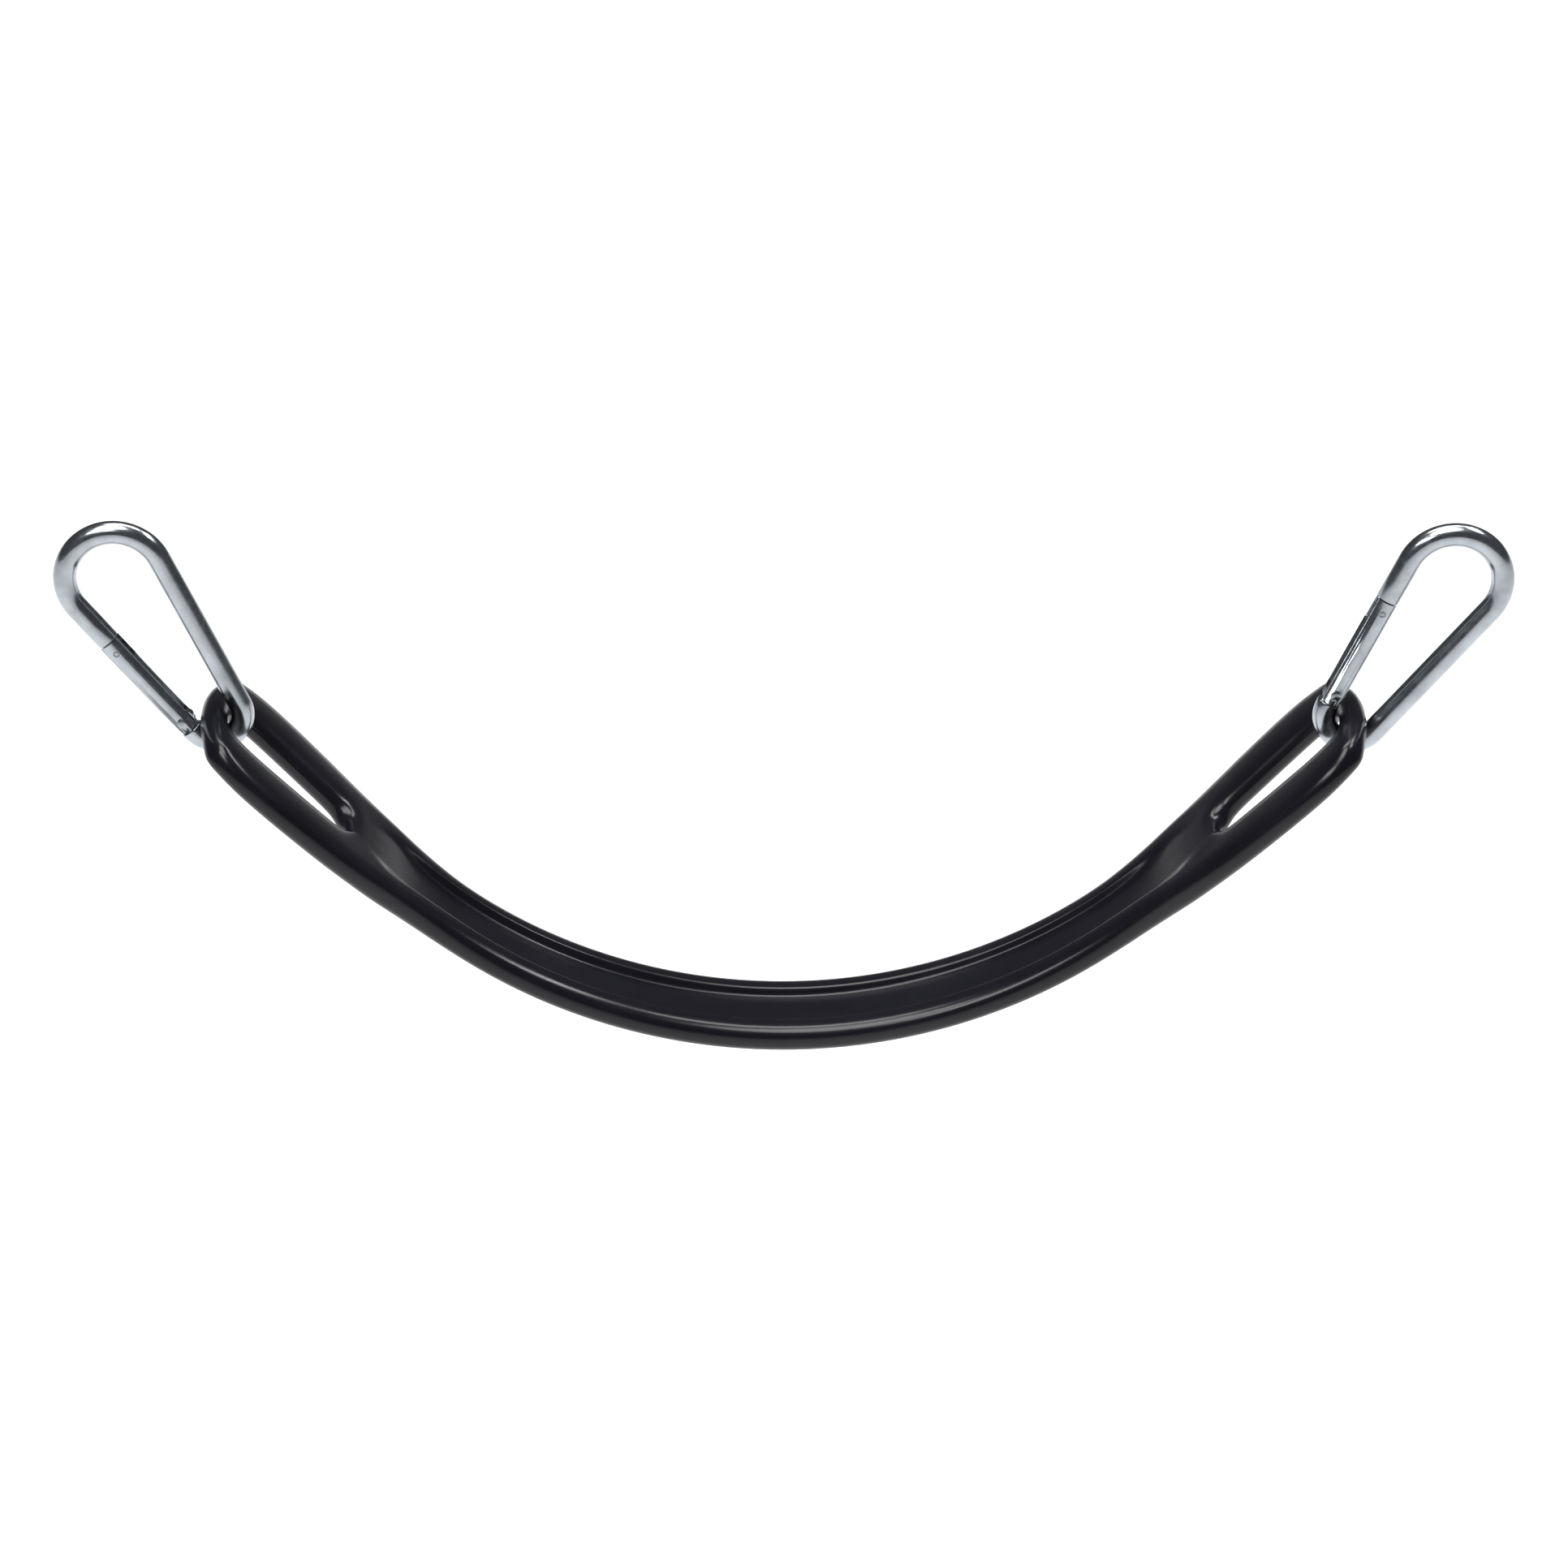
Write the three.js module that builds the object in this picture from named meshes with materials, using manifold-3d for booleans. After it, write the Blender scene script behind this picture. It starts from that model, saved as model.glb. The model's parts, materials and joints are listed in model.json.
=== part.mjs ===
// Swing strap: a moulded rubber strap bent to a U, with a snap hook through the slot at each end.
// Millimetres, +Z up, X along the strap, Y across it; the origin lies under the middle of the strap.
import * as THREE from 'three';
import { mergeVertices } from 'three/addons/utils/BufferGeometryUtils.js';
import Module from 'manifold-3d';

const wasm = await Module();
wasm.setup();

// strap
const strapThick = 14.5;
const midHalfWidth = 31;
const endHalfWidth = 52;
const halfLength = 356.5; // along the strap, middle to tip
const edgeRound = 4.8;
const roundSteps = 3; // facets in each rounded edge
const flareStart = 173; // the strap widens from here
const flareHandle = 256; // and most quickly before here
const widest = 317; // to here
const tipRound = 14; // how soon the tip starts to round off, across the strap
const tipEase = 12; // and along it
const bendRadius = 280;
const bendAngle = THREE.MathUtils.degToRad(40);
const easeRadius = 780;
const armAngle = THREE.MathUtils.degToRad(45.5);
const channelHalfWidth = 16.5;
const channelDepth = 4.2;
const channelLevel = 192; // the channel keeps its full depth up to here
const channelEnd = 240; // and fades out here
const channelSpread = 8; // wider by this on each side where it fades out
const slotInner = 257.5;
const endBar = 13.5; // rubber left between the slot and the tip
const slotHalfWidthInner = 14.5;
const slotHalfWidthOuter = 17.5;

// snap hook
const wireR = 6;
const hookLength = 140;
const smallR = 14.3; // wire centre line round the strap's end bar
const bigR = 25.2; // wire centre line round the open end
const hookLean = THREE.MathUtils.degToRad(57.5);
const pinAt = 8; // hinge pin, along the gate leg
const nosePinAt = 58;
const gateEnd = 64.1;
const hingeShoulder = 1.6; // where the full wire ends below the hinge
const noseShoulder = 64.8; // where the full wire starts again past the gate
const hingePinR = 1.75;
const nosePinR = 1.5;
const tongueHalf = 2.5; // half thickness of the hinge tongue
const tongueDepth = 4.4; // and its half height in the hook's plane
const forkHalf = 2.8;
const noseTongueHalf = 2.2;
const noseDepth = 4.2;
const noseLead = 4.6; // the nose tongue ends this far short of the nose pin
const notchLead = 2.1; // its notch, ahead of the pin
const notchRest = 1.75; // and behind it, where the pin comes to rest
const forkDepth = 5.3; // the gate's fork goes this far past the hinge pin
const noseSlotLead = 6.8; // and its nose slot this far ahead of the nose pin
const noseSlotHalf = 2.5;
const boreR = 2.5;
const boreEnd = 40;
const camR = 4; // the round end that the plunger presses on
const camOffset = 2; // set in from the pin, so opening the gate pushes the plunger back
const eyeR = 3.4;
const running = 0.09; // clearance of the pins in their holes
const plungerTip = 3.9; // ahead of the hinge pin
const plungerEnd = 21;
const plungerTravel = 1;
const springR = 1.75;
const springWire = 0.35;
const springTurns = 8;
const springSlack = 0.7; // left at each end of the spring
const rivetHeadR = 2.7;
const rivetHeadHeight = 0.9;
const headGap = 0.12;

const centreGap = hookLength - (bigR + wireR) - (smallR + wireR);
const taper = Math.asin((bigR - smallR) / centreGap);

function toSolid(geometry) {
  const g = geometry.clone();
  g.deleteAttribute('normal');
  g.deleteAttribute('uv');
  const m = mergeVertices(g, 1e-4);
  return new wasm.Manifold(new wasm.Mesh({
    numProp: 3,
    vertProperties: new Float32Array(m.attributes.position.array),
    triVerts: new Uint32Array(m.index.array),
  }));
}

function toGeometry(solid) {
  const m = solid.getMesh();
  const g = new THREE.BufferGeometry();
  g.setAttribute('position', new THREE.BufferAttribute(new Float32Array(m.vertProperties), 3));
  g.setIndex(new THREE.BufferAttribute(new Uint32Array(m.triVerts), 1));
  g.computeVertexNormals();
  return g;
}

// a closed outline in the X-Z plane, given thickness along Y about y = 0
function plate(shape, halfY, curveSegments = 16) {
  const g = new THREE.ExtrudeGeometry(shape, { depth: 2 * halfY, bevelEnabled: false, curveSegments });
  g.rotateX(Math.PI / 2);
  g.translate(0, halfY, 0);
  return g;
}

// a round bar along X from a to b
function rod(a, b, r, sides = 24) {
  const g = new THREE.CylinderGeometry(r, r, b - a, sides);
  return g.rotateZ(Math.PI / 2).translate((a + b) / 2, 0, 0);
}

function disc(x, z, r) {
  const s = new THREE.Shape();
  s.absarc(x, z, r, 0, 2 * Math.PI, false);
  return s;
}

function rectangle(x0, z0, x1, z1) {
  const s = new THREE.Shape();
  s.moveTo(x0, z0).lineTo(x1, z0).lineTo(x1, z1).lineTo(x0, z1).closePath();
  return s;
}

// ---------- strap ----------

// the point on the strap's middle surface at distance s from the middle, with its slope
function centreLine(s) {
  const len = Math.abs(s);
  const side = Math.sign(s) || 1;
  const bendLen = bendRadius * bendAngle;
  const easeLen = easeRadius * (armAngle - bendAngle);
  let x;
  let z;
  let slope;
  if (len < bendLen) {
    slope = len / bendRadius;
    x = bendRadius * Math.sin(slope);
    z = bendRadius * (1 - Math.cos(slope));
  } else {
    const eased = Math.min(len - bendLen, easeLen);
    slope = bendAngle + eased / easeRadius;
    const rest = Math.max(len - bendLen - easeLen, 0);
    x = bendRadius * Math.sin(bendAngle)
      + easeRadius * (Math.sin(slope) - Math.sin(bendAngle)) + rest * Math.cos(slope);
    z = bendRadius * (1 - Math.cos(bendAngle))
      + easeRadius * (Math.cos(bendAngle) - Math.cos(slope)) + rest * Math.sin(slope);
  }
  return { x: side * x, z: z + strapThick / 2, slope: side * slope };
}

function bendPoint(s, lift) {
  const c = centreLine(s);
  return { x: c.x - Math.sin(c.slope) * lift, z: c.z + Math.cos(c.slope) * lift };
}

// Half of an outline lying along the strap, from one end round the +Y side to the other, as points
// at even distances, each with its normal.
function halfOutline(path, count) {
  const points = path.getSpacedPoints(count);
  return points.map((p, i) => {
    const before = points[Math.max(i - 1, 0)];
    const after = points[Math.min(i + 1, count)];
    const n = new THREE.Vector2(before.y - after.y, after.x - before.x).normalize();
    if (i === 0 || i === count) n.set(Math.sign(n.x) || Math.sign(p.x - points[1].x), 0);
    return { s: p.x, y: p.y, n };
  });
}

// A solid stacked from layers of one outline, mirrored across the strap and bent with it. Each layer
// grows the outline by grow, at the height above the middle surface that lift(s) gives.
function stack(half, layers) {
  const last = half.length - 1;
  const ring = [];
  for (let i = 0; i <= last; i += 1) ring.push([half[i], 1]);
  for (let i = last - 1; i > 0; i -= 1) ring.push([half[i], -1]);
  const size = ring.length;
  const positions = [];
  for (const { grow, lift } of layers) {
    for (const [p, side] of ring) {
      const s = p.s + grow * p.n.x;
      const at = bendPoint(s, lift(s));
      positions.push(at.x, side * (p.y + grow * p.n.y), at.z);
    }
  }
  const index = [];
  for (let l = 0; l + 1 < layers.length; l += 1) {
    for (let i = 0; i < size; i += 1) {
      const j = (i + 1) % size;
      const [p, q] = [l * size + i, l * size + j];
      index.push(p, p + size, q, q, p + size, q + size);
    }
  }
  const top = (layers.length - 1) * size;
  for (let i = 0; i < last; i += 1) {
    const [a, b] = [i, i + 1];
    const [c, d] = [(size - i) % size, size - i - 1];
    if (b !== d) index.push(b, d, a, top + b, top + a, top + d);
    if (a !== c) index.push(a, d, c, top + a, top + c, top + d);
  }
  const g = new THREE.BufferGeometry();
  g.setAttribute('position', new THREE.Float32BufferAttribute(positions, 3));
  g.setIndex(index);
  return toSolid(g);
}

function strapBlank() {
  const w = midHalfWidth;
  const e = endHalfWidth;
  const end = halfLength;
  const path = new THREE.Path();
  path.moveTo(-end, 0);
  const straight = flareStart + 46;
  path.bezierCurveTo(-end, e - tipRound, tipEase - end, e + 1, -widest, e);
  path.bezierCurveTo(-flareHandle, e - 1.5, -straight, w, -flareStart, w);
  path.lineTo(flareStart, w);
  path.bezierCurveTo(straight, w, flareHandle, e - 1.5, widest, e);
  path.bezierCurveTo(end - tipEase, e + 1, end, e - tipRound, end, 0);
  const half = halfOutline(path, 98);
  const layers = [];
  for (const face of [-1, 1]) {
    for (let k = 0; k <= roundSteps; k += 1) {
      const a = ((face < 0 ? roundSteps - k : k) / roundSteps) * (Math.PI / 2);
      const height = face * (strapThick / 2 - edgeRound * (1 - Math.sin(a)));
      layers.push({ grow: -edgeRound * (1 - Math.cos(a)), lift: () => height });
    }
  }
  return stack(half, layers);
}

function slotTool(side) {
  const [a, b] = [slotInner, halfLength - endBar];
  const [i, o] = [slotHalfWidthInner, slotHalfWidthOuter];
  const path = new THREE.Path();
  path.moveTo(a, 0);
  path.bezierCurveTo(a, i - 6, a + 4, i, a + i, i);
  path.lineTo(b - o, o);
  path.bezierCurveTo(b - 6, o, b, o - 8, b, 0);
  const half = halfOutline(path, 26);
  if (side < 0) {
    for (const p of half) {
      p.s *= -1;
      p.n.x *= -1;
    }
    half.reverse();
  }
  const flares = [];
  for (let k = 0; k <= roundSteps; k += 1) {
    const turn = (k / roundSteps) * (Math.PI / 2);
    flares.push([strapThick / 2 - edgeRound * (1 - Math.sin(turn)), edgeRound * (1 - Math.cos(turn))]);
  }
  flares.push([strapThick / 2 + 3, edgeRound]);
  const layers = [...flares].reverse().map(([z, grow]) => ({ grow, lift: () => -z }));
  for (const [z, grow] of flares) layers.push({ grow, lift: () => z });
  return stack(half, layers);
}

// the shallow channel along the inner face: it widens and fades out before each slot
function channelTool() {
  const c = channelHalfWidth;
  const end = channelEnd;
  const path = new THREE.Path();
  path.moveTo(-end, 0);
  path.lineTo(-end, c + channelSpread);
  path.bezierCurveTo(-end + 22, c + 3.5, -channelLevel - 6, c, -channelLevel + 20, c);
  path.lineTo(channelLevel - 20, c);
  path.bezierCurveTo(channelLevel + 6, c, end - 22, c + 3.5, end, c + channelSpread);
  path.lineTo(end, 0);
  const half = halfOutline(path, 60);
  const face = strapThick / 2;
  const floor = (s) => {
    const t = THREE.MathUtils.smootherstep(Math.abs(s), channelLevel - 12, end + 4);
    return face - channelDepth * (1 - t) + 0.4 * t;
  };
  return stack(half, [
    { grow: 0, lift: floor },
    { grow: 1.2, lift: (s) => Math.max(face, floor(s) + 0.2) },
    { grow: 1.2, lift: () => face + 4 },
  ]);
}

function strapGeometry() {
  return toGeometry(strapBlank().subtract(slotTool(1)).subtract(slotTool(-1))
    .subtract(channelTool()));
}

// ---------- snap hook ----------
// The hook's frame has its axis along +X, the strap's end bar at the origin and the gate on the +Z side.
// The leg frame starts where the gate leg leaves the small bend: +X runs up the leg, +Z points outward.

const legTurn = -taper;
const legStart = new THREE.Vector3(-Math.sin(taper), 0, Math.cos(taper)).multiplyScalar(smallR);

function legToHook(geometry) {
  return geometry.rotateY(legTurn).translate(legStart.x, 0, legStart.z);
}

function onLeg(along) {
  return new THREE.Vector3(Math.cos(taper), 0, Math.sin(taper)).multiplyScalar(along).add(legStart);
}

// the wire's centre line: from the gate's hinge, round the small bend, up the plain leg, round the
// open end and down the gate leg to the nose
class WirePath extends THREE.Curve {
  constructor() {
    super();
    const leg = Math.sqrt(centreGap ** 2 - (bigR - smallR) ** 2);
    this.parts = [hingeShoulder, smallR * (Math.PI - 2 * taper), leg,
      bigR * (Math.PI + 2 * taper), leg - noseShoulder];
    this.total = this.parts.reduce((sum, part) => sum + part, 0);
  }

  getPoint(t, target = new THREE.Vector3()) {
    let d = t * this.total;
    let k = 0;
    while (k < 4 && d > this.parts[k]) {
      d -= this.parts[k];
      k += 1;
    }
    if (k === 0) return target.copy(onLeg(hingeShoulder - d));
    if (k === 4) return target.copy(onLeg(noseShoulder + this.parts[4] - d));
    if (k === 2) {
      return target.set(-Math.sin(taper) * smallR + Math.cos(taper) * d, 0,
        -Math.cos(taper) * smallR - Math.sin(taper) * d);
    }
    const r = k === 1 ? smallR : bigR;
    const centre = k === 1 ? 0 : centreGap;
    const angle = (k === 1 ? Math.PI / 2 + taper : 1.5 * Math.PI - taper) + d / r;
    return target.set(centre + r * Math.cos(angle), 0, r * Math.sin(angle));
  }
}

// a round bar across the hook, longer than the wire is thick
function crossBar(along, r) {
  return new THREE.CylinderGeometry(r, r, 3 * wireR, 32).translate(along, 0, 0);
}

function hookBodyGeometry() {
  const wire = new THREE.ExtrudeGeometry(disc(0, 0, wireR), {
    steps: 54, curveSegments: 8, bevelEnabled: false, extrudePath: new WirePath(),
  });
  const tongue = [
    [rectangle(hingeShoulder - 1, -tongueDepth, pinAt, tongueDepth), tongueHalf],
    [disc(pinAt, -camOffset, camR), tongueHalf],
    [disc(pinAt, 0, eyeR), tongueHalf],
    [rectangle(nosePinAt - noseLead, -noseDepth, noseShoulder + 2, noseDepth), noseTongueHalf],
  ];
  const notch = rectangle(nosePinAt - notchLead, -wireR - 1, nosePinAt + notchRest, notchRest);
  let body = toSolid(wire);
  for (const [shape, half] of tongue) body = body.add(toSolid(legToHook(plate(shape, half))));
  return toGeometry(body
    .subtract(toSolid(legToHook(plate(notch, wireR))))
    .subtract(toSolid(legToHook(crossBar(pinAt, hingePinR + running)))));
}

// ---------- gate and its parts, in the leg frame ----------

function gateGeometry() {
  const side = new THREE.Shape();
  side.moveTo(gateEnd, -wireR - 1).lineTo(gateEnd, wireR + 1).lineTo(pinAt, wireR + 1);
  side.lineTo(pinAt, wireR);
  side.absarc(pinAt, 0, wireR, Math.PI / 2, 1.5 * Math.PI, false);
  side.lineTo(pinAt, -wireR - 1).closePath();
  const fork = rectangle(-wireR, -wireR - 1, pinAt + forkDepth, wireR + 1);
  const noseSlot = rectangle(nosePinAt - noseSlotLead, -wireR - 1, gateEnd + 1, wireR + 1);
  return toGeometry(toSolid(rod(0, gateEnd + 5, wireR, 36))
    .intersect(toSolid(plate(side, wireR + 1)))
    .subtract(toSolid(plate(fork, forkHalf)))
    .subtract(toSolid(plate(noseSlot, noseSlotHalf)))
    .subtract(toSolid(rod(pinAt + 2, boreEnd, boreR)))
    .subtract(toSolid(crossBar(pinAt, hingePinR + running)))
    .subtract(toSolid(crossBar(nosePinAt, nosePinR + running))));
}

function turned(profile, sides) {
  const points = profile.map(([r, h]) => new THREE.Vector2(r, h));
  return toGeometry(toSolid(new THREE.LatheGeometry(points, sides)));
}

function hingePinGeometry() {
  const base = wireR + headGap;
  const head = [[hingePinR, 0], [rivetHeadR, 0], [0.93 * rivetHeadR, 0.33 * rivetHeadHeight],
    [0.6 * rivetHeadR, 0.83 * rivetHeadHeight], [0, rivetHeadHeight]];
  const upper = head.map(([r, h]) => [r, base + h]);
  const lower = head.map(([r, h]) => [r, -base - h]).reverse();
  const g = turned([...lower, ...upper], 24);
  return g.translate(pinAt, 0, 0);
}

function nosePinGeometry() {
  const g = new THREE.CylinderGeometry(nosePinR, nosePinR, 2 * wireR - 0.8, 32);
  return g.translate(nosePinAt, 0, 0);
}

function plungerGeometry() {
  const tip = pinAt + plungerTip;
  const g = turned([[0, tip], [0.8, tip + 0.22], [1.4, tip + 0.82], [1.6, tip + 1.6],
    [2.2, tip + 2.4], [2.2, plungerEnd], [0, plungerEnd]], 24);
  return g.rotateZ(-Math.PI / 2);
}

class Coil extends THREE.Curve {
  getPoint(t, target = new THREE.Vector3()) {
    const a = 2 * Math.PI * springTurns * t;
    const start = plungerEnd + plungerTravel + springSlack;
    const along = start + (boreEnd - springSlack - start) * t;
    return target.set(along, springR * Math.sin(a), springR * Math.cos(a));
  }
}

function springGeometry() {
  return new THREE.ExtrudeGeometry(disc(0, 0, springWire), {
    steps: springTurns * 9, curveSegments: 3, bevelEnabled: false, extrudePath: new Coil(),
  });
}

// ---------- assembly ----------

const zinc = { color: 0xb9c4cc, roughness: 0.24, metalness: 1 };
const steel = { color: 0x8f969c, roughness: 0.35, metalness: 1 };
const rubber = { color: 0x101114, roughness: 0.38, metalness: 0 };

function piece(name, geometry, look) {
  const mesh = new THREE.Mesh(geometry, new THREE.MeshStandardMaterial(look));
  mesh.name = name;
  return mesh;
}

const hookBody = hookBodyGeometry();
const legPieces = [
  ['gate', gateGeometry(), zinc],
  ['hinge_pin', hingePinGeometry(), steel],
  ['nose_pin', nosePinGeometry(), steel],
  ['plunger', plungerGeometry(), steel],
  ['gate_spring', springGeometry(), steel],
];

function snapHook(name) {
  const hook = new THREE.Group();
  const leg = new THREE.Group();
  leg.position.copy(legStart);
  leg.rotation.y = legTurn;
  for (const [part, geometry, look] of legPieces) leg.add(piece(`${name}_${part}`, geometry, look));
  hook.add(piece(`${name}_hook_body`, hookBody, zinc), leg);
  return hook;
}

const group = new THREE.Group();
group.name = 'swing_strap';
group.add(piece('strap', strapGeometry(), rubber));

for (const [side, name] of [[-1, 'left'], [1, 'right']]) {
  const end = centreLine(side * (halfLength - endBar / 2));
  const hook = snapHook(name);
  hook.position.set(end.x, 0, end.z);
  hook.rotation.y = side < 0 ? hookLean - Math.PI : -hookLean;
  group.add(hook);
}

export default group;
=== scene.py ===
import json
import math
import bpy
import bmesh
from mathutils import Matrix, Vector


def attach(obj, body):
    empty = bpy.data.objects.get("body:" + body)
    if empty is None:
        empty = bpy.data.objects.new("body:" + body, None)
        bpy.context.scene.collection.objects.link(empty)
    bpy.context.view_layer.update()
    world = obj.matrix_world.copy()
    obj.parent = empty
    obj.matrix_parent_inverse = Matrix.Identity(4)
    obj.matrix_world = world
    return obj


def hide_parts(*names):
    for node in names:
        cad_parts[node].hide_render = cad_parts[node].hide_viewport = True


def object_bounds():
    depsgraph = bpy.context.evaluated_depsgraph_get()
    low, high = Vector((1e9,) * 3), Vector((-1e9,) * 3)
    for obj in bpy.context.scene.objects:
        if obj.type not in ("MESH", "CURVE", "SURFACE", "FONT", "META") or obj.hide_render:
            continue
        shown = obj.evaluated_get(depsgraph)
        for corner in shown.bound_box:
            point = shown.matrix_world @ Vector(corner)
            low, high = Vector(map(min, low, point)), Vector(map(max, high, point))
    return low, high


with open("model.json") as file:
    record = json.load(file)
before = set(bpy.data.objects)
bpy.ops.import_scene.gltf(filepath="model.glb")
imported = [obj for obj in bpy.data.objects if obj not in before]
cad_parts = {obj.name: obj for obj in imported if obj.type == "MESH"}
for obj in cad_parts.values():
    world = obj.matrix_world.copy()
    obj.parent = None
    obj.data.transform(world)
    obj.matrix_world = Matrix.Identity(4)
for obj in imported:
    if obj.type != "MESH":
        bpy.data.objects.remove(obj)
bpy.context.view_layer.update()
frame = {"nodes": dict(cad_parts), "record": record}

mm = 0.001


# small helpers

def clearSelection():
    if bpy.context.mode != "OBJECT":
        bpy.ops.object.mode_set(mode="OBJECT")
    bpy.ops.object.select_all(action="DESELECT")


def makeActive(obj):
    clearSelection()
    obj.select_set(True)
    bpy.context.view_layer.objects.active = obj


def applyModifier(obj, kind, **settings):
    makeActive(obj)
    mod = obj.modifiers.new(kind.title(), kind)
    for key, value in settings.items():
        setattr(mod, key, value)
    bpy.ops.object.modifier_apply(modifier=mod.name)


def applyPlace(obj):
    makeActive(obj)
    bpy.ops.object.transform_apply(location=True, rotation=True, scale=True)


def joinPieces(objs, name):
    clearSelection()
    for obj in objs:
        obj.select_set(True)
    bpy.context.view_layer.objects.active = objs[0]
    if len(objs) > 1:
        bpy.ops.object.join()
    objs[0].name = name
    return objs[0]


def moveVertices(obj, where):
    for vert in obj.data.vertices:
        vert.co = Vector(where(vert.co))
    obj.data.update()


def outwardFaces(obj):
    makeActive(obj)
    bpy.ops.object.mode_set(mode="EDIT")
    bpy.ops.mesh.select_all(action="SELECT")
    bpy.ops.mesh.normals_make_consistent(inside=False)
    bpy.ops.object.mode_set(mode="OBJECT")


def smoothFaces(obj, angle):
    makeActive(obj)
    bpy.ops.object.shade_smooth_by_angle(angle=math.radians(angle))


# strap sizes in millimetres, measured along and across the flat strap
strap = {
    "thick": 14.5,
    "midHalf": 31.5,
    "rimRound": 3.3,
    "bendRadius": 280.0, "bendAngle": 40.0,  # the main bend, degrees either side
    "easeRadius": 780.0, "armAngle": 45.5,  # the arms straighten out to this slope
    "channelHalf": 16.5, "channelDepth": 4.2,
    "channelLines": (-2.4, -1.0, 0.7, 2.0),  # lines of points either side of the channel's edge
    "floorInset": 2.2,  # the line inside the floor's edge where the channel fades out
    "rimSteps": 4,
    # rows of points from the middle out; between these the outline is straight
    "evenRows": (0, 26, 52, 78, 104, 130, 152, 171),
    # row, channel floor edge, channel top edge, holding line, rim, channel depth
    "flareRows": (
        (185, 15.5, 17.2, 18.6, 32.0, 4.2),
        (198, 15.8, 17.8, 19.8, 33.3, 4.1),
        (210, 16.6, 19.0, 21.4, 35.2, 3.5),
        (221, 17.8, 21.2, 24.2, 37.5, 2.4),
        (231, 18.8, 23.4, 27.2, 39.7, 1.1),
        (241, 15.8, 21.2, 27.5, 42.0, 0.15),
    ),
    # the solid rubber between the channel and the slot
    "bridge": ((250.3, 0), (250.4, 6.8), (250.9, 12.4), (253.4, 17.6), (252.6, 28.4), (249.5, 44)),
    # beside the slot: row, slot edge, then the rim's own row and distance
    "slotRows": ((276, 14.2, 274, 48.5), (294, 15.3, 292, 51.0),
                 (312, 16.3, 311, 52.6), (327, 16.9, 326, 52.4)),
    "slotStart": ((257.9, 0), (258.1, 4.8), (259.6, 9.6), (264.4, 13.4), (262.6, 29.5), (258.5, 45.9)),
    "slotFinish": ((342.5, 0), (342.3, 5.6), (341.0, 11.0), (337.0, 15.3), (340.5, 32), (339, 48.8)),
    "tip": ((357.1, 0), (356.9, 9), (355.9, 18.1), (354.0, 27.2), (351.0, 35.4), (346.3, 42.4)),
}


# one quarter of the strap laid flat: rows of points from the middle to the tip
def strapPlan():
    c = strap["channelHalf"]
    rows = []
    for s in strap["evenRows"]:
        edgeLines = [c + offset for offset in strap["channelLines"]]
        rows.append([(s, y) for y in (0, *edgeLines, strap["midHalf"])])
    for s, floorEdge, topEdge, holding, rim, depth in strap["flareRows"]:
        inset = floorEdge - strap["floorInset"]
        rows.append([(s, y) for y in (0, inset, floorEdge, topEdge, holding, rim)])
    rows.append(list(strap["bridge"]))
    rows.append(list(strap["slotStart"]))
    for s, edge, sRim, rim in strap["slotRows"]:
        rows.append([None, None, None, (s, edge), ((s + sRim) / 2, (edge + rim) / 2), (sRim, rim)])
    rows.append(list(strap["slotFinish"]))
    rows.append(list(strap["tip"]))
    return rows


# where a point of the flat strap lies once the strap is bent
def bendPoint(along, lift):
    size = abs(along)
    side = 1 if along >= 0 else -1
    bendAngle = math.radians(strap["bendAngle"])
    armAngle = math.radians(strap["armAngle"])
    r = strap["bendRadius"] * mm
    ease = strap["easeRadius"] * mm
    bendLength = r * bendAngle
    if size < bendLength:
        slope = size / r
        x = r * math.sin(slope)
        z = r * (1 - math.cos(slope))
    else:
        eased = min(size - bendLength, ease * (armAngle - bendAngle))
        slope = bendAngle + eased / ease
        rest = size - bendLength - eased
        x = r * math.sin(bendAngle) + rest * math.cos(slope)
        x += ease * (math.sin(slope) - math.sin(bendAngle))
        z = r * (1 - math.cos(bendAngle)) + rest * math.sin(slope)
        z += ease * (math.cos(bendAngle) - math.cos(slope))
    x -= lift * math.sin(slope)
    z += lift * math.cos(slope) + strap["thick"] * mm / 2
    return side * x, z


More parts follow.
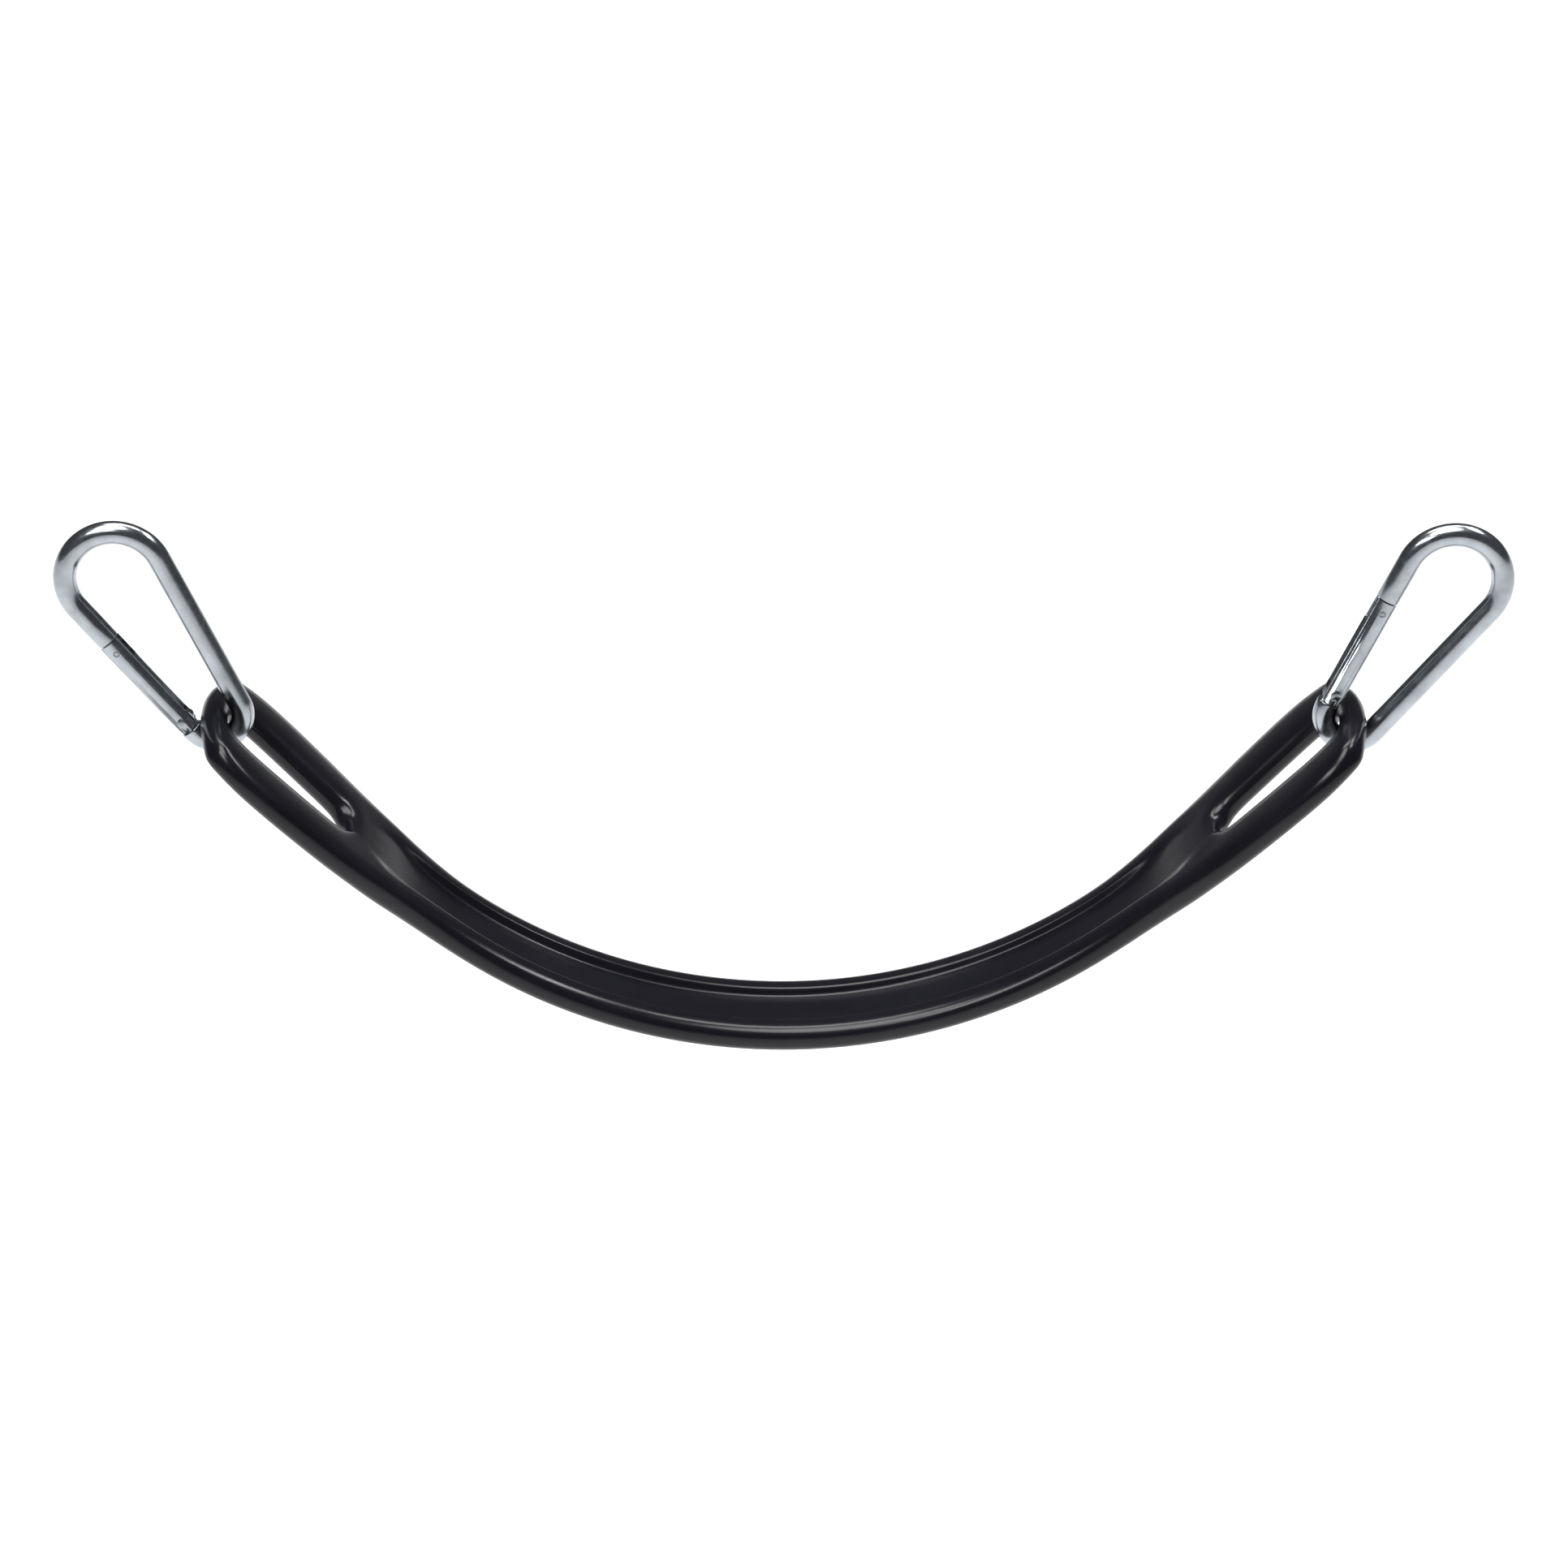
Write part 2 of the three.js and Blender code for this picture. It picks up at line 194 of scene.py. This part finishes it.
def makeStrap():
    plan = strapPlan()
    last = len(plan) - 1
    firstSlotRow = len(strap["evenRows"]) + len(strap["flareRows"]) + 1
    lines = len(plan[0]) - 1
    slotLines = 3  # the slot's edge runs along this line
    near = 0.1 * mm
    top = strap["thick"] * mm / 2
    clearSelection()
    bpy.ops.mesh.primitive_grid_add(x_subdivisions=2 * last, y_subdivisions=2 * lines, size=2,
                                    location=(0, 0, top))
    obj = bpy.context.object
    obj.name = "strapMoulding"
    applyPlace(obj)

    # the two slots are cut out of the grid before its points go to their places
    makeActive(obj)
    bpy.ops.object.mode_set(mode="EDIT")
    mesh = bmesh.from_edit_mesh(obj.data)
    for face in mesh.faces:
        mid = face.calc_center_median()
        station = abs(mid.x) * last
        face.select = firstSlotRow < station < last - 1 and abs(mid.y) * lines < slotLines
    bmesh.update_edit_mesh(obj.data)
    bpy.ops.mesh.delete(type="FACE")
    bpy.ops.object.mode_set(mode="OBJECT")

    def toPlace(co):
        row = round(co.x * last)
        line = round(co.y * lines)
        along, across = plan[abs(row)][abs(line)]
        return (math.copysign(along, row) * mm, math.copysign(across, line) * mm, co.z)

    moveVertices(obj, toPlace)

    # thickness, then the channel pressed into the inner face a station at a time
    makeActive(obj)
    bpy.ops.object.mode_set(mode="EDIT")
    bpy.ops.mesh.select_all(action="SELECT")
    bpy.ops.mesh.extrude_region_move(TRANSFORM_OT_translate={"value": (0, 0, -2 * top)})
    bpy.ops.mesh.select_all(action="SELECT")
    bpy.ops.mesh.normals_make_consistent(inside=False)
    floorEdge = strap["channelHalf"] + strap["channelLines"][1]
    channel = [(row, floorEdge, strap["channelDepth"]) for row in strap["evenRows"]]
    channel += [(row[0], row[1], row[5]) for row in strap["flareRows"]]
    for station, floorEdge, depth in channel:
        bpy.ops.mesh.select_all(action="DESELECT")
        mesh = bmesh.from_edit_mesh(obj.data)
        for vert in mesh.verts:
            onStation = abs(abs(vert.co.x) - station * mm) < near
            vert.select = onStation and abs(vert.co.y) < floorEdge * mm + near and vert.co.z > 0
        mesh.select_flush_mode()
        bmesh.update_edit_mesh(obj.data)
        bpy.ops.transform.translate(value=(0, 0, -depth * mm))

    # every rim is rounded: round the outside, and round both slots, on both faces
    bpy.ops.mesh.select_all(action="DESELECT")
    mesh = bmesh.from_edit_mesh(obj.data)
    for edge in mesh.edges:
        tilts = sorted(abs(face.normal.z) for face in edge.link_faces)
        edge.select = len(tilts) == 2 and tilts[0] < 0.2 and tilts[1] > 0.7
    mesh.select_flush_mode()
    bmesh.update_edit_mesh(obj.data)
    bpy.ops.mesh.bevel(offset=strap["rimRound"] * mm, segments=strap["rimSteps"], profile=0.5,
                       affect="EDGES", clamp_overlap=True)
    bpy.ops.object.mode_set(mode="OBJECT")
    applyModifier(obj, "SUBSURF", levels=2, render_levels=2)

    def bent(co):
        x, z = bendPoint(co.x, co.z)
        return x, co.y, z

    moveVertices(obj, bent)
    outwardFaces(obj)
    makeActive(obj)
    bpy.ops.object.shade_smooth()
    return obj


print("strap")
strapPiece = makeStrap()


# snap hook sizes in millimetres; the hook lies along +X from its small bend, gate on the +Z side
hook = {
    "wire": 6.0,
    "smallBend": 14.3, "openBend": 25.2, "bendsApart": 88.5,
    "hingeShoulder": 1.6, "noseShoulder": 64.8,
    "hingeAt": 8.0, "noseAt": 58.0,
}
taper = math.asin((hook["openBend"] - hook["smallBend"]) / hook["bendsApart"])


# a point on the gate leg: along it, outward from its middle, and across the hook
def legPoint(along, out=0.0, across=0.0):
    x = -math.sin(taper) * (hook["smallBend"] + out) + math.cos(taper) * along
    z = math.cos(taper) * (hook["smallBend"] + out) + math.sin(taper) * along
    return Vector((x * mm, across * mm, z * mm))


# turns a piece made along +X from the origin onto the gate leg
def layOnLeg(obj):
    moveVertices(obj, lambda co: legPoint(co.x / mm, co.z / mm, co.y / mm))
    return obj


def wirePoints():
    small, big, apart = hook["smallBend"], hook["openBend"], hook["bendsApart"]
    leg = math.sqrt(apart ** 2 - (big - small) ** 2)
    points = [legPoint(hook["hingeShoulder"])]
    steps = 40
    for i in range(steps + 1):
        a = math.pi / 2 + taper + i / steps * (math.pi - 2 * taper)
        points.append(Vector((small * math.cos(a), 0, small * math.sin(a))) * mm)
    steps = 56
    for i in range(steps + 1):
        a = 1.5 * math.pi - taper + i / steps * (math.pi + 2 * taper)
        points.append(Vector((apart + big * math.cos(a), 0, big * math.sin(a))) * mm)
    points.append(legPoint(hook["noseShoulder"] + (leg - hook["noseShoulder"]) * 0.5))
    points.append(legPoint(hook["noseShoulder"]))
    return points


def tubeAlong(points, radius, name, resolution=9):
    clearSelection()
    bpy.ops.curve.primitive_bezier_curve_add(enter_editmode=False, location=(0, 0, 0))
    obj = bpy.context.object
    obj.name = name
    curve = obj.data
    curve.splines.clear()
    spline = curve.splines.new("POLY")
    spline.points.add(len(points) - 1)
    for point, co in zip(spline.points, points):
        point.co = (co.x, co.y, co.z, 1)
    curve.dimensions = "3D"
    curve.twist_mode = "MINIMUM"
    curve.bevel_depth = radius
    curve.bevel_resolution = resolution
    curve.use_fill_caps = True
    makeActive(obj)
    bpy.ops.object.convert(target="MESH")
    obj = bpy.context.object
    makeActive(obj)
    bpy.ops.object.mode_set(mode="EDIT")
    bpy.ops.mesh.select_all(action="SELECT")
    bpy.ops.mesh.remove_doubles(threshold=1e-6)
    bpy.ops.mesh.normals_make_consistent(inside=False)
    bpy.ops.object.mode_set(mode="OBJECT")
    return obj


def roundBar(fromX, toX, radius, name, sides=64):
    clearSelection()
    middle = ((fromX + toX) / 2 * mm, 0, 0)
    bpy.ops.mesh.primitive_cylinder_add(vertices=sides, radius=radius * mm, depth=(toX - fromX) * mm,
                                        location=middle, rotation=(0, math.pi / 2, 0))
    obj = bpy.context.object
    obj.name = name
    applyPlace(obj)
    return obj


def crossBar(atX, atZ, radius, halfLength, name, sides=48):
    clearSelection()
    bpy.ops.mesh.primitive_cylinder_add(vertices=sides, radius=radius * mm, depth=2 * halfLength * mm,
                                        location=(atX * mm, 0, atZ * mm), rotation=(math.pi / 2, 0, 0))
    obj = bpy.context.object
    obj.name = name
    applyPlace(obj)
    return obj


def block(low, high, name):
    clearSelection()
    size = [(b - a) * mm for a, b in zip(low, high)]
    middle = [(a + b) / 2 * mm for a, b in zip(low, high)]
    bpy.ops.mesh.primitive_cube_add(size=1, location=middle, scale=size)
    obj = bpy.context.object
    obj.name = name
    applyPlace(obj)
    return obj


def combine(obj, tool, operation):
    applyModifier(obj, "BOOLEAN", operation=operation, object=tool, solver="EXACT")
    bpy.data.objects.remove(tool, do_unlink=True)


def softenEdges(obj, width, angle=40, segments=2):
    applyModifier(obj, "BEVEL", width=width * mm, segments=segments, limit_method="ANGLE",
                  angle_limit=math.radians(angle), use_clamp_overlap=True)


past = 9.0  # a cutting piece reaches this far out, well past the wire

# the flat tongues at the hinge and at the nose, and the notch that holds the nose pin
tongue = {
    "half": 2.5, "depth": 4.4, "root": 1.0, "eyeRadius": 3.4, "holeRadius": 1.84,
    "camRadius": 4.0, "camOffset": -2.0,
    "noseHalf": 2.2, "noseEdge": 4.2, "noseLead": 4.6, "noseRoot": 2.0,
    "notchLead": 2.1, "notchRest": 1.75, "lap": 0.01,
}


def makeHookBody():
    wire = tubeAlong(wirePoints(), hook["wire"] * mm, "hookWire")
    softenEdges(wire, 0.7, angle=60, segments=3)
    at, edge, half = hook["hingeAt"], tongue["depth"], tongue["half"]
    root = hook["hingeShoulder"] - tongue["root"]
    eye = block((root, -half, -edge), (at, half, edge), "hingeTongue")
    combine(eye, crossBar(at, tongue["camOffset"], tongue["camRadius"], half, "cam"), "UNION")
    combine(eye, crossBar(at, 0, tongue["eyeRadius"], half, "eye"), "UNION")
    combine(eye, crossBar(at, 0, tongue["holeRadius"], past, "hole"), "DIFFERENCE")
    softenEdges(eye, 0.3)
    at, edge, half = hook["noseAt"], tongue["noseEdge"], tongue["noseHalf"]
    root = hook["noseShoulder"] + tongue["noseRoot"]
    lead, rest, lap = at - tongue["notchLead"], tongue["notchRest"], tongue["lap"]
    nose = block((at - tongue["noseLead"], -half, -edge), (root, half, edge), "noseTongue")
    combine(nose, block((lead, -past, -past), (at, past, 0), "notchLow"), "DIFFERENCE")
    combine(nose, block((at, -past, -past), (at + rest, past, rest), "notchHigh"), "DIFFERENCE")
    combine(nose, block((lead, -past, -lap), (at + lap, past, rest), "notchFloor"), "DIFFERENCE")
    softenEdges(nose, 0.3)
    return joinPieces([wire, layOnLeg(eye), layOnLeg(nose)], "hookBody")


gate = {
    "end": 64.1, "forkEnd": 13.3, "forkHalf": 2.8, "noseStart": 51.2, "noseHalf": 2.5,
    "bore": 2.5, "boreStart": 10.0, "boreEnd": 40.0, "nosePinHole": 1.6,
    "sidePast": 4.0, "slotPast": 5.0,  # how far the cutting pieces go past the gate's end
}


def makeGate():
    r = hook["wire"]
    at = hook["hingeAt"]
    obj = roundBar(0, gate["end"], r, "gateBar", sides=96)
    end = gate["end"] + gate["sidePast"]
    outline = block((at, -past, -past), (end, past, past), "gateSide")
    combine(outline, crossBar(at, 0, r, past, "gateHeel", sides=96), "UNION")
    combine(obj, outline, "INTERSECT")
    half = gate["forkHalf"]
    combine(obj, block((-past, -half, -past), (gate["forkEnd"], half, past), "fork"), "DIFFERENCE")
    half, end = gate["noseHalf"], gate["end"] + gate["slotPast"]
    combine(obj, block((gate["noseStart"], -half, -past), (end, half, past), "noseSlot"), "DIFFERENCE")
    bore = roundBar(gate["boreStart"], gate["boreEnd"], gate["bore"], "bore", sides=32)
    combine(obj, bore, "DIFFERENCE")
    combine(obj, crossBar(at, 0, tongue["holeRadius"], past, "pinHole"), "DIFFERENCE")
    combine(obj, crossBar(hook["noseAt"], 0, gate["nosePinHole"], past, "nosePinHole"), "DIFFERENCE")
    softenEdges(obj, 0.35)
    return layOnLeg(obj)


pins = {
    "hingeRadius": 1.75, "headGap": 0.12,
    # each ring of a rivet head: how far in from the last ring, and how much further out
    "headRings": ((-0.95, 0.0), (0.0, 0.25), (0.5, 0.3), (0.9, 0.25), (0.75, 0.1)),
    "noseRadius": 1.5, "noseHalf": 5.6,
}


# a rivet with a low domed head at each side
def makeHingePin():
    obj = crossBar(hook["hingeAt"], 0, pins["hingeRadius"], hook["wire"] + pins["headGap"], "hingeRivet")
    makeActive(obj)
    bpy.ops.object.mode_set(mode="EDIT")
    for side in (-1, 1):
        for inset, rise in pins["headRings"]:
            bpy.ops.mesh.select_all(action="DESELECT")
            mesh = bmesh.from_edit_mesh(obj.data)
            mesh.faces.ensure_lookup_table()
            end = max(mesh.faces, key=lambda face: side * face.calc_center_median().y + (len(face.verts) > 8))
            end.select = True
            mesh.select_flush_mode()
            bmesh.update_edit_mesh(obj.data)
            bpy.ops.mesh.extrude_region_move(TRANSFORM_OT_translate={"value": (0, side * rise * mm, 0)})
            radius = max(math.hypot(v.co.x - hook["hingeAt"] * mm, v.co.z)
                         for v in bmesh.from_edit_mesh(obj.data).verts if v.select)
            scale = max(radius - inset * mm, 0.1 * mm) / radius
            bpy.ops.transform.resize(value=(scale, 1, scale), center_override=(hook["hingeAt"] * mm, 0, 0))
    bpy.ops.object.mode_set(mode="OBJECT")
    outwardFaces(obj)
    return layOnLeg(obj)


def makeNosePin():
    obj = crossBar(hook["noseAt"], 0, pins["noseRadius"], pins["noseHalf"], "latchPin", sides=40)
    softenEdges(obj, 0.25, angle=60)
    return layOnLeg(obj)


print("snap hooks")
hookParts = {
    "hook_body": makeHookBody(),
    "gate": makeGate(),
    "hinge_pin": makeHingePin(),
    "nose_pin": makeNosePin(),
}
for part in hookParts.values():
    smoothFaces(part, 38)


# finishes

def newMaterial(name, baseColor, metallic, specular=0.5):
    mat = bpy.data.materials.new(name)
    mat.use_nodes = True
    shader = mat.node_tree.nodes["Principled BSDF"]
    shader.inputs["Base Color"].default_value = (*baseColor, 1)
    shader.inputs["Metallic"].default_value = metallic
    shader.inputs["Specular IOR Level"].default_value = specular
    return mat, mat.node_tree.nodes, mat.node_tree.links, shader


def noise(nodes, links, scale, detail=4.0, roughness=0.55, stretch=None):
    coord = nodes.new("ShaderNodeTexCoord")
    tex = nodes.new("ShaderNodeTexNoise")
    tex.inputs["Scale"].default_value = scale
    tex.inputs["Detail"].default_value = detail
    tex.inputs["Roughness"].default_value = roughness
    if stretch:
        mapping = nodes.new("ShaderNodeMapping")
        mapping.inputs["Scale"].default_value = stretch
        links.new(coord.outputs["Object"], mapping.inputs["Vector"])
        links.new(mapping.outputs["Vector"], tex.inputs["Vector"])
    else:
        links.new(coord.outputs["Object"], tex.inputs["Vector"])
    return tex.outputs["Fac"]


def remap(nodes, links, value, lowIn, highIn, lowOut, highOut):
    node = nodes.new("ShaderNodeMapRange")
    node.inputs["From Min"].default_value = lowIn
    node.inputs["From Max"].default_value = highIn
    node.inputs["To Min"].default_value = lowOut
    node.inputs["To Max"].default_value = highOut
    links.new(value, node.inputs["Value"])
    return node.outputs["Result"]


def colourRamp(nodes, links, value, stops):
    node = nodes.new("ShaderNodeValToRGB")
    ramp = node.color_ramp
    for i, (place, colour) in enumerate(stops):
        element = ramp.elements[i] if i < 2 else ramp.elements.new(place)
        element.position = place
        element.color = (*colour, 1)
    links.new(value, node.inputs["Fac"])
    return node.outputs["Color"]


def bump(nodes, links, height, strength, distance, before=None):
    node = nodes.new("ShaderNodeBump")
    node.inputs["Strength"].default_value = strength
    node.inputs["Distance"].default_value = distance
    links.new(height, node.inputs["Height"])
    if before is not None:
        links.new(before, node.inputs["Normal"])
    return node.outputs["Normal"]


def mouldedRubber():
    mat, nodes, links, shader = newMaterial("mouldedRubber", (0.006, 0.006, 0.009), 0.0, 0.28)
    cloud = noise(nodes, links, 22, 5, 0.6)
    scuff = noise(nodes, links, 140, 8, 0.7, (0.35, 1.0, 1.0))
    shades = [(0.3, (0.003, 0.003, 0.005)), (0.62, (0.005, 0.005, 0.008)), (0.8, (0.009, 0.008, 0.011))]
    links.new(colourRamp(nodes, links, cloud, shades), shader.inputs["Base Color"])
    links.new(remap(nodes, links, scuff, 0.3, 0.8, 0.2, 0.27), shader.inputs["Roughness"])
    skin = bump(nodes, links, noise(nodes, links, 1400, 3, 0.5), 0.05, 0.0001)
    wave = bump(nodes, links, noise(nodes, links, 60, 2, 0.4), 0.12, 0.0005, skin)
    links.new(wave, shader.inputs["Normal"])
    return mat


def platedSteel(name, tint, roughLow, roughHigh):
    mat, nodes, links, shader = newMaterial(name, tint, 1.0)
    dark = tuple(c * 0.80 for c in tint)
    light = tuple(min(c * 1.10, 1) for c in tint)
    cloud = noise(nodes, links, 70, 5, 0.65)
    shades = [(0.32, dark), (0.55, tint), (0.75, light)]
    links.new(colourRamp(nodes, links, cloud, shades), shader.inputs["Base Color"])
    wear = noise(nodes, links, 260, 6, 0.7)
    links.new(remap(nodes, links, wear, 0.3, 0.75, roughLow, roughHigh), shader.inputs["Roughness"])
    grain = bump(nodes, links, noise(nodes, links, 900, 4, 0.6), 0.06, 0.00008)
    ripple = bump(nodes, links, noise(nodes, links, 90, 2, 0.4), 0.08, 0.0003, grain)
    links.new(ripple, shader.inputs["Normal"])
    return mat


print("finishes")
rubberFinish = mouldedRubber()
zincFinish = platedSteel("zincPlate", (0.36, 0.385, 0.415), 0.15, 0.27)
pinFinish = platedSteel("pinSteel", (0.29, 0.31, 0.33), 0.2, 0.36)
springFinish = platedSteel("springSteel", (0.32, 0.34, 0.36), 0.22, 0.4)


def giveFinish(obj, mat):
    obj.data.materials.clear()
    obj.data.materials.append(mat)


giveFinish(strapPiece, rubberFinish)
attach(strapPiece, "strap")
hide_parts("strap")


# each hook stands where its swing joint and its eye say

jointAt = {joint["name"]: joint for joint in frame["record"]["behaviour"]["joints"]}
eyeAxis = {mount["name"]: mount["axis"] for mount in frame["record"]["mounts"]}
ridesOn = {"hook_body": "hook", "hinge_pin": "hook", "gate": "gate", "nose_pin": "gate"}
slotOf = {"hook_body": ("hook_zinc", zincFinish), "gate": ("hook_zinc", zincFinish),
          "hinge_pin": ("pin_steel", pinFinish), "nose_pin": ("pin_steel", pinFinish)}

for side in ("left", "right"):
    axis = eyeAxis[side + "_hook_eye"]
    lean = math.atan2(axis[2], axis[0])
    place = Matrix.Translation(jointAt[side + "_hook_swing"]["pos_m"]) @ Matrix.Rotation(-lean, 4, "Y")
    for part, model in hookParts.items():
        copy = model.copy()
        copy.data = model.data.copy()
        copy.name = side + "_" + part + "_finished"
        bpy.context.collection.objects.link(copy)
        copy.data.transform(place)
        node = side + "_" + part
        slotName, finish = slotOf[part]
        giveFinish(copy, finish)
        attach(copy, side + "_" + ridesOn[part])
        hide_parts(node)
    for part, finish in (("plunger", pinFinish), ("gate_spring", springFinish)):
        giveFinish(frame["nodes"][side + "_" + part], finish)

for model in hookParts.values():
    bpy.data.objects.remove(model, do_unlink=True)


# studio

studio = {
    "floorBelow": 0.55, "floorSize": 60.0,
    "elevation": 25.0, "azimuth": 0.8, "roll": 0.4,
    "distance": 2.83, "frameWidth": 0.806, "aim": (0.0002, 0.0, 0.1410),
    "sensor": 36.0, "seesTo": 200.0,
    "paper": (0.93, 0.93, 0.93, 1), "skyColour": (0.93, 0.96, 1.0, 1), "skyStrength": 0.10,
    "sunStrength": 3.3, "sunSpread": 40, "sunTurn": (12, -8, 0),
    # place, size and power of each lamp
    "lamps": (((-1.1, -1.3, 1.9), 0.8, 24), ((1.3, 0.6, 1.9), 0.7, 22), ((0.0, 0.9, 2.2), 1.0, 26)),
    "lampWide": 1.6, "lampDeep": 0.5,
}


def makeStudio():
    low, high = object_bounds()
    middle = (Vector(low) + Vector(high)) / 2
    clearSelection()
    bpy.ops.mesh.primitive_plane_add(size=studio["floorSize"], location=(0, 0, low[2] - studio["floorBelow"]))
    floor = bpy.context.object
    floor.name = "studioFloor"
    mat = bpy.data.materials.new("palePaper")
    mat.use_nodes = True
    mat.node_tree.nodes["Principled BSDF"].inputs["Base Color"].default_value = studio["paper"]
    mat.node_tree.nodes["Principled BSDF"].inputs["Roughness"].default_value = 0.9
    giveFinish(floor, mat)

    world = bpy.data.worlds.new("studioWorld")
    world.use_nodes = True
    world.node_tree.nodes["Background"].inputs["Color"].default_value = studio["skyColour"]
    world.node_tree.nodes["Background"].inputs["Strength"].default_value = studio["skyStrength"]
    bpy.context.scene.world = world

    turn = [math.radians(angle) for angle in studio["sunTurn"]]
    bpy.ops.object.light_add(type="SUN", location=(0, 0, 3), rotation=turn)
    sun = bpy.context.object.data
    sun.energy = studio["sunStrength"]
    sun.angle = math.radians(studio["sunSpread"])
    for location, size, power in studio["lamps"]:
        toward = middle - Vector(location)
        turn = toward.to_track_quat("-Z", "Y").to_euler()
        bpy.ops.object.light_add(type="AREA", location=location, rotation=turn)
        lamp = bpy.context.object.data
        lamp.shape = "RECTANGLE"
        lamp.size = size * studio["lampWide"]
        lamp.size_y = size * studio["lampDeep"]
        lamp.energy = power

    e = math.radians(studio["elevation"])
    a = math.radians(studio["azimuth"])
    back = Vector((-math.sin(a) * math.cos(e), -math.cos(a) * math.cos(e), math.sin(e)))
    bpy.ops.object.camera_add(location=Vector(studio["aim"]) + back * studio["distance"])
    camera = bpy.context.object
    upright = (-back).to_track_quat("-Z", "Y").to_matrix()
    camera.rotation_euler = (upright @ Matrix.Rotation(math.radians(studio["roll"]), 3, "Z")).to_euler()
    camera.data.sensor_width = studio["sensor"]
    camera.data.lens = studio["sensor"] * studio["distance"] / studio["frameWidth"]
    camera.data.clip_end = studio["seesTo"]
    camera.data.dof.use_dof = False
    bpy.context.scene.camera = camera
    bpy.context.scene.view_settings.view_transform = "Standard"
    bpy.context.scene.view_settings.exposure = 0.0


print("studio")
makeStudio()

print("done")
